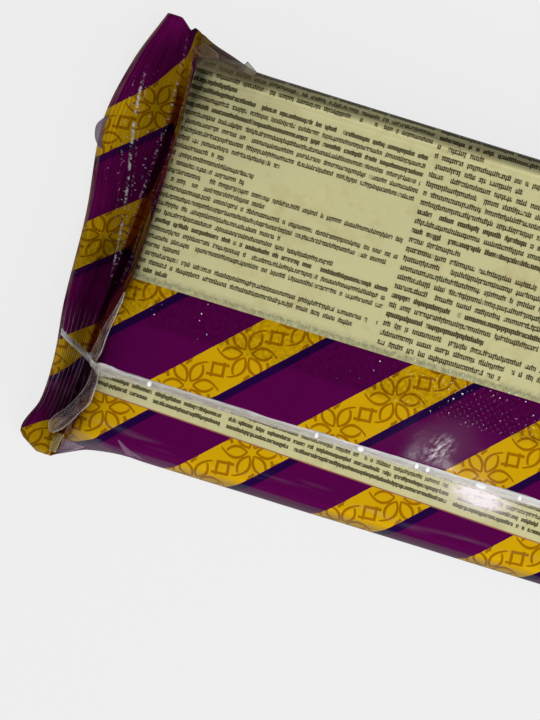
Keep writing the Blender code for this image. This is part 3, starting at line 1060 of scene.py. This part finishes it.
def printed_film_material():
    """Glossy film with the whole print and the seam's knurl, and painted shade and highlights."""
    material, tree, shader = new_material("halva_print", 0.08)
    along, girth = film_position(tree)
    inks = colours()
    group = film_print_group(ornament_group(), small_print_group())
    pattern = place_group(
        tree, group, along=along, girth=girth, purple=inks.purple, navy=inks.navy,
        yellow=inks.yellow, ochre=inks.ochre, cream=inks.cream, ink=inks.ink,
    )
    surface = place_group(tree, film_relief_group(), along=along, girth=girth)
    mark = tree.nodes.new("ShaderNodeAttribute")
    mark.attribute_name = "Reach"
    reach = Signal(tree, mark.outputs["Fac"])
    shade = place_group(tree, edge_shade_group(), along=along, girth=girth, reach=reach)
    seal_light_and_margin = place_group(
        tree, seal_light_and_margin_group(), along=along, girth=girth, reach=reach, ridges=float(sizes().ridge_count),
    )
    mottle = cloudy(tree, joined(tree, along, girth), 0.08, 4.0, 0.6)
    shadow = (mottle - 0.5) * 0.16 + 1.0
    colour = blended(tree, surface["Dull"], pattern["Colour"], (0.4, 0.41, 0.4, 1.0), "MULTIPLY")
    # Painted light: the seals' purple brightened in streaks.
    glow = seal_light_and_margin["Glow"] * pattern["Ground"]
    colour = blended(tree, glow, colour, (0.045, 0.001, 0.018, 1.0), "ADD")
    # Painted shade: the walls at the ends multiplied dark.
    colour = blended(tree, shade["Wall Shade"], colour, (0.26, 0.07, 0.16, 1.0), "MULTIPLY")
    # Pale corner film, with a painted highlight on a fold at the panel's edge.
    colour = blended(tree, shade["Fold"], colour, linear(150, 124, 84))
    colour = blended(tree, seal_light_and_margin["Margin"] * 0.7, colour, linear(128, 108, 84))
    # Painted pale highlights on the seals' pleats.
    pleat_highlight = seal_light_and_margin["Pleat Highlight"] * (pattern["Ground"] * 0.85 + 0.15)
    colour = blended(tree, pleat_highlight, colour, linear(176, 156, 172))
    # Painted shade: the colour's value scaled by the mottle, the edge shade and the crimp shade.
    tone = tree.nodes.new("ShaderNodeHueSaturation")
    tree.links.new(colour.socket, tone.inputs["Color"])
    tree.links.new((shadow * shade["Tone"] * seal_light_and_margin["Tone"]).socket, tone.inputs["Value"])
    # Painted highlights: crest dashes, spots, glints, glare and sheen, mixed towards white.
    bright = seal_light_and_margin["Crest Highlight"].larger(surface["Glint"]) * 0.9
    with_highlights = blended(tree, bright, Signal(tree, tone.outputs[0]), linear(246, 236, 240))
    tree.links.new(with_highlights.socket, shader.inputs["Base Color"])
    bump = tree.nodes.new("ShaderNodeBump")
    bump.inputs["Strength"].default_value = 1.0
    bump.inputs["Distance"].default_value = MM
    tree.links.new(surface["Height"].socket, bump.inputs["Height"])
    tree.links.new(bump.outputs[0], shader.inputs["Normal"])
    return material


def lip_material():
    """The flap's bare edge: milky film, clearer below, with painted highlights along its upper rim and in
    small bright spots, and painted light that makes it lighter towards +X and over the seals.
    """
    material, tree, shader = new_material("halva_bare_edge", 0.12)
    along, girth = film_position(tree)
    rise = (girth + 27.6) / 1.7
    streaks = streaky(tree, along * 0.35, girth * 4.0, 3.0, 0.65)
    # Painted highlight spots, where the lamp glints on the edge.
    spots = rise.above(2.0)
    for place, half in LIP_SPOTS:
        near = abs(along - place) / half
        spots = spots.larger((near * near + (rise - 0.6) * (rise - 0.6) * 5.0).below(0.8, 0.9))
    # Painted light: lighter towards +X and over the seals, and a painted highlight along the upper rim.
    right = (along * 0.008).held(-0.3, 0.3)
    rim = rise.above(0.72, 0.25)
    on_seal = abs(along).above(64.0, 6.0)
    shine = (streaks - 0.45) * 1.2 + rim * 0.5 + right + 0.28 + on_seal * 0.5
    shine = shine.larger(spots).held()
    colour = blended(tree, shine, linear(182, 176, 166), linear(253, 252, 252))
    tree.links.new(colour.socket, shader.inputs["Base Color"])
    cover = rise * 0.62 + (streaks - 0.5) * 0.5 + 0.24 + on_seal * 0.2
    cover = cover.larger(spots).held(0.12, 0.97)
    tree.links.new(cover.socket, shader.inputs["Alpha"])
    return material


def clear_film_material(name, tint, covered, at_rims):
    """Loose clear film: thin, glossy and streaky, with a painted highlight along its rims."""
    material, tree, shader = new_material(name, 0.22)
    along, girth = film_position(tree)
    streaks = streaky(tree, along * 0.22, girth * 3.0, 2.0, 0.45)
    # Painted highlight along the rims.
    rim = abs(girth - 0.5).above(0.43, 0.08)
    deep = tuple(channel * 0.7 for channel in tint[:3]) + (1.0,)
    colour = blended(tree, ((streaks - 0.3) * 1.6 + rim * 0.5).held(), deep, tint)
    tree.links.new(colour.socket, shader.inputs["Base Color"])
    cover = ((streaks - 0.5) * 0.4 + rim * at_rims + covered).held(0.02, 0.95)
    tree.links.new(cover.socket, shader.inputs["Alpha"])
    return material


# --- Operators --------------------------------------------------------------------------------


def girth_columns():
    """Film positions of one layer, the same for the upper and the lower film."""
    half = runs(
        (0.0, 27.5 * MM, 21), (27.5 * MM, 39.0 * MM, 9),
        (39.0 * MM, 45.3 * MM, 9), (45.3 * MM, HALF_GIRTH, 4),
    ) + [HALF_GIRTH]
    return [-g for g in reversed(half[1:])] + half


class HALVA_OT_film_tube(bpy.types.Operator):
    """Wrap the slab in its tube of printed film, with both crimped end seals"""

    bl_idname = "halva.film_tube"
    bl_label = "Film Tube"

    def execute(self, context):
        columns = girth_columns()
        seam = next(i for i, g in enumerate(columns) if g > FLAP_EDGE + 2.0 * MM)
        over = [(g, True, g / MM) for g in columns[seam:]]
        under = [(g, False, (2 * QUARTER_GIRTH - g) / MM) for g in reversed(columns)]
        back = [(g, True, (4 * QUARTER_GIRTH + g) / MM) for g in columns[:seam + 1]]
        half = runs((0.0, 0.7, 21), (0.7, 0.96, 16), (0.96, 2.0, 30), (2.0, 3.0, 92)) + [3.0]
        tube = sheet_mesh("film_tube", *laid_film(both_ends(half), over + under + back), wrap=True)
        finish_piece(tube, bpy.data.materials["halva_print"], replaces=True)
        return {"FINISHED"}


def slid(points, print_girth, stations, girths):
    """Draw the flap's points towards +Y as they cross each end seal, with the print left in place."""
    for i, station in enumerate(stations):
        slide = FLAP_SLIDE * min(1.0, max(0.0, (abs(station) - 1.9) / 1.1)) ** 1.1
        for j, girth in enumerate(girths):
            share = smooth((FLAP_ROOT - girth) / (FLAP_ROOT - FLAP_EDGE))
            points[i, j, 1] += slide * share
            print_girth[i, j] += slide * share / MM
    return points


class HALVA_OT_back_seam(bpy.types.Operator):
    """Fold the back seam's flap flat on the face and over both end seals"""

    bl_idname = "halva.back_seam"
    bl_label = "Back Seam"

    def execute(self, context):
        half = runs((0.0, 0.7, 70), (0.7, 0.96, 26), (0.96, 2.0, 36), (2.0, 2.985, 92)) + [2.985]
        stations = both_ends(half)
        girths = [g * MM for g in runs((-26.3, -15.5, 14), (-15.5, -4.5, 18))] + [-4.5 * MM]
        strip = [(g, True, g / MM) for g in girths]
        rise = np.array([self.lift(g) for g in girths])
        points, printed, girth, reach = laid_film(stations, strip)
        wave = 1.0 + 0.1 * ripple(printed, girth, 16.0, 6)
        ridge = ripple(printed, girth, 3.4, 9) * 0.012 * MM
        knurled = np.clip((girth + 16.0) / 2.0, 0, 1) * np.clip((-4.8 - girth) / 1.0, 0, 1)
        lift = rise[None, :] * wave + ridge * knurled
        points = slid(laid_film(stations, strip, lift)[0], girth, stations, girths)
        flap = sheet_mesh("seam_flap", points, printed, girth, reach)
        thicken(flap, FLAP_FILM)
        finish_piece(flap, bpy.data.materials["halva_print"])
        self.rolled_edge(stations)
        return {"FINISHED"}

    @staticmethod
    def lift(girth):
        """Height of the flap above the film that it lies on."""
        across = (FLAP_ROOT - girth) / (FLAP_ROOT - FLAP_EDGE)
        return mix(-0.04, 0.2, smooth(across * 8)) * MM + 0.3 * MM * smooth(across)

    def rolled_edge(self, stations):
        """The flap's bare edge, a narrow milky roll."""
        girths = [girth * MM for girth, _ in ROLL_SECTION]
        strip = [(g, True, g / MM) for g in girths]
        shape = np.array([height for _, height in ROLL_SECTION])
        at = np.array(stations)[:, None] * 60.0
        wave = 1.0 + 0.3 * ripple(at, at * 0.0, 13.0, 4)
        lift = 0.2 * MM + sizes().lip_height * shape[None, :] * wave
        points, printed, girth, reach = laid_film(stations, strip, lift)
        points = slid(points, girth, stations, girths)
        girth = np.repeat([[g / MM for g in girths]], len(stations), axis=0)
        width = [
            1.0 + 0.7 * smooth((abs(s) - 0.93) * 16) - 0.85 * smooth((abs(s) - 1.02) * 8)
            for s in stations
        ]
        middle = points[:, :, 1].mean(axis=1, keepdims=True)
        points[:, :, 1] = middle + (points[:, :, 1] - middle) * np.array(width)[:, None]
        lip = sheet_mesh("flap_edge", points, printed, girth, reach)
        thicken(lip, ROLL_FILM)
        finish_piece(lip, bpy.data.materials["halva_bare_edge"])


class HALVA_OT_loose_folds(bpy.types.Operator):
    """Lay the loose clear folds of film over the corners"""

    bl_idname = "halva.loose_folds"
    bl_label = "Loose Folds"

    def execute(self, context):
        graph = context.evaluated_depsgraph_get()
        under = [BVHTree.FromObject(bpy.data.objects[name], graph) for name in ("film_tube", "seam_flap")]
        for name, material, swell, left, right in WEBS:
            self.fold(name, material, swell * MM, self.eased(left), self.eased(right), under)
        return {"FINISHED"}

    @staticmethod
    def eased(points, count=49):
        """Points along the smooth curve through a few, at even steps of the curve's number."""
        places = [(i, p) for i, p in enumerate(points)]
        steps = [i * (len(points) - 1) / (count - 1) for i in range(count)]
        lines = [[(i, p[axis]) for i, p in places] for axis in range(3)]
        return np.array([[curve_through(line, at) for line in lines] for at in steps]) * MM

    @staticmethod
    def fold(name, material, swell, left, right, under):
        """One loose fold between its two long edges, eased over the pieces under it."""
        steps = 17
        share = np.linspace(0.0, 1.0, steps)[None, :, None]
        points = left[:, None, :] * (1 - share) + right[:, None, :] * share
        points[..., 2] += swell * np.sin(math.pi * share[..., 0])
        run = np.concatenate([[0.0], np.cumsum(np.linalg.norm(np.diff(left, axis=0), axis=1))]) / MM
        along = np.repeat(run[:, None], steps, axis=1)
        across = np.repeat(share[:, :, 0], len(left), axis=0)
        crumple = ripple(along, across * 3.0, 3.1, len(name)) * 0.12 * MM
        points[..., 2] += crumple * np.sin(math.pi * across)
        floor = np.zeros(points.shape[:2])
        for i in range(points.shape[0]):
            for j in range(steps):
                x, y, _ = points[i, j]
                for tree in under:
                    hit = tree.ray_cast(Vector((x, y, 0.1)), Vector((0, 0, -1)))[0]
                    if hit is not None:
                        floor[i, j] = max(floor[i, j], hit.z + 0.12 * MM)
        for _ in range(12):
            points[..., 2] = np.maximum(points[..., 2], floor)
            points[1:-1, :, 2] = (points[:-2, :, 2] + 2 * points[1:-1, :, 2] + points[2:, :, 2]) / 4
            points[:, 1:-1, 2] = (points[:, :-2, 2] + 2 * points[:, 1:-1, 2] + points[:, 2:, 2]) / 4
        points[..., 2] = np.maximum(points[..., 2], floor)
        sheet = sheet_mesh(name, points, along, across, across)
        thicken(sheet, CLEAR_FILM)
        finish_piece(sheet, bpy.data.materials[material])


FLOOR_GREY = 70
FLOOR_GLOW = 0.795                   # the floor's own light, which keeps it pale and even
SOFT_PANELS = (                      # name, place, size and power, in metres and watts
    ("key", (0.85, -0.25, 0.66), (0.8, 1.1), 18.5),
    ("fill", (-0.85, 0.2, 0.5), (1.0, 1.2), 2.6),
    ("front", (0.0, -0.9, 0.55), (1.2, 0.6), 5.6),
)
LAMP = ("lamp", (52.0 * MM, -30.0 * MM, 0.5), (0.014, 0.01), 0.005)


class HALVA_OT_stage(bpy.types.Operator):
    """Set the floor, the soft light and the camera"""

    bl_idname = "halva.stage"
    bl_label = "Stage"

    def execute(self, context):
        self.floor()
        self.lights()
        self.camera(context)
        context.scene.view_settings.view_transform = "Standard"
        return {"FINISHED"}

    def floor(self):
        bpy.ops.object.select_all(action="DESELECT")
        bpy.ops.mesh.primitive_circle_add(vertices=96, radius=3.0, fill_type="NGON")
        floor = bpy.context.object
        floor.name = "floor"
        floor.location.z = -0.02 * MM
        material, _, shader = new_material("pale_floor", 0.9)
        shader.inputs["Base Color"].default_value = linear(*[FLOOR_GREY] * 3)
        shader.inputs["Specular IOR Level"].default_value = 0.0
        shader.inputs["Emission Color"].default_value = (1.0, 1.0, 1.0, 1.0)
        shader.inputs["Emission Strength"].default_value = FLOOR_GLOW
        floor.data.materials.append(material)
        floor.visible_glossy = False

    def lights(self):
        world = bpy.data.worlds.new("soft_room")
        bpy.context.scene.world = world
        world.use_nodes = True
        tree = world.node_tree
        where = tree.nodes.new("ShaderNodeTexCoord")
        parts = tree.nodes.new("ShaderNodeSeparateXYZ")
        tree.links.new(where.outputs["Generated"], parts.inputs[0])
        side, deep, up = (Signal(tree, socket) for socket in parts.outputs)
        front = (deep * -1.0).larger(0.0)
        rightwards = (side * 1.5 + 1.0).held(0.15, 1.0)
        glow = (front * front * 0.62 + 0.13) * rightwards + side.larger(0.0) * 0.2
        back = tree.nodes["Background"]
        back.inputs[0].default_value = (1.0, 1.0, 1.02, 1.0)
        tree.links.new((up.below(0.27, 0.22) * glow + 0.006).socket, back.inputs[1])
        for panel in SOFT_PANELS:
            self.panel(*panel).visible_glossy = False
        self.panel(*LAMP)

    @staticmethod
    def panel(name, place, size, power):
        light = bpy.data.lights.new(name, "AREA")
        light.shape = "RECTANGLE"
        light.size, light.size_y = size
        light.energy = power
        lamp = bpy.data.objects.new(name, light)
        bpy.context.scene.collection.objects.link(lamp)
        lamp.location = place
        lamp.rotation_mode = "QUATERNION"
        lamp.rotation_quaternion = Vector(place).to_track_quat("Z", "Y")
        return lamp

    @staticmethod
    def camera(context):
        look = stage_look()
        lens = bpy.data.cameras.new("camera")
        lens.sensor_width = 36.0
        lens.lens = lens.sensor_width * look.height / look.tall
        camera = bpy.data.objects.new("camera", lens)
        context.scene.collection.objects.link(camera)
        camera.location = Vector(look.aim) + Vector((0, 0, look.height))
        camera.rotation_euler = (0, 0, look.turn)
        context.scene.camera = camera


class HALVA_PT_panel(bpy.types.Panel):
    """Sizes, colours and steps of the pack"""

    bl_idname = "HALVA_PT_panel"
    bl_label = "Halva Pack"
    bl_space_type = "VIEW_3D"
    bl_region_type = "UI"
    bl_category = "Halva Pack"

    def draw(self, context):
        layout = self.layout
        for group in (sizes(), colours(), stage_look()):
            box = layout.box()
            for prop in group.bl_rna.properties:
                if prop.identifier not in ("rna_type", "name"):
                    box.prop(group, prop.identifier)
        for operator in OPERATORS:
            layout.operator(operator.bl_idname)


GROUPS = (PackSizes, PrintColours, StageLook)
OPERATORS = (HALVA_OT_film_tube, HALVA_OT_back_seam, HALVA_OT_loose_folds, HALVA_OT_stage)


def register():
    """Register the classes and hang the settings on the scene."""
    for entry in (*GROUPS, *OPERATORS, HALVA_PT_panel):
        bpy.utils.register_class(entry)
    bpy.types.Scene.halva_sizes = bpy.props.PointerProperty(type=PackSizes)
    bpy.types.Scene.halva_colours = bpy.props.PointerProperty(type=PrintColours)
    bpy.types.Scene.halva_stage = bpy.props.PointerProperty(type=StageLook)


def unregister():
    """Take the settings and classes away again."""
    del bpy.types.Scene.halva_stage
    del bpy.types.Scene.halva_colours
    del bpy.types.Scene.halva_sizes
    for entry in reversed((*GROUPS, *OPERATORS, HALVA_PT_panel)):
        bpy.utils.unregister_class(entry)


def main():
    """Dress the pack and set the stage."""
    register()
    printed_film_material()
    lip_material()
    for name, (tint, covered, at_rims) in CLEAR_FILMS.items():
        clear_film_material(name, linear(*tint), covered, at_rims)
    bpy.ops.halva.film_tube()
    bpy.ops.halva.back_seam()
    bpy.ops.halva.loose_folds()
    bpy.ops.halva.stage()


if __name__ == "__main__":
    main()
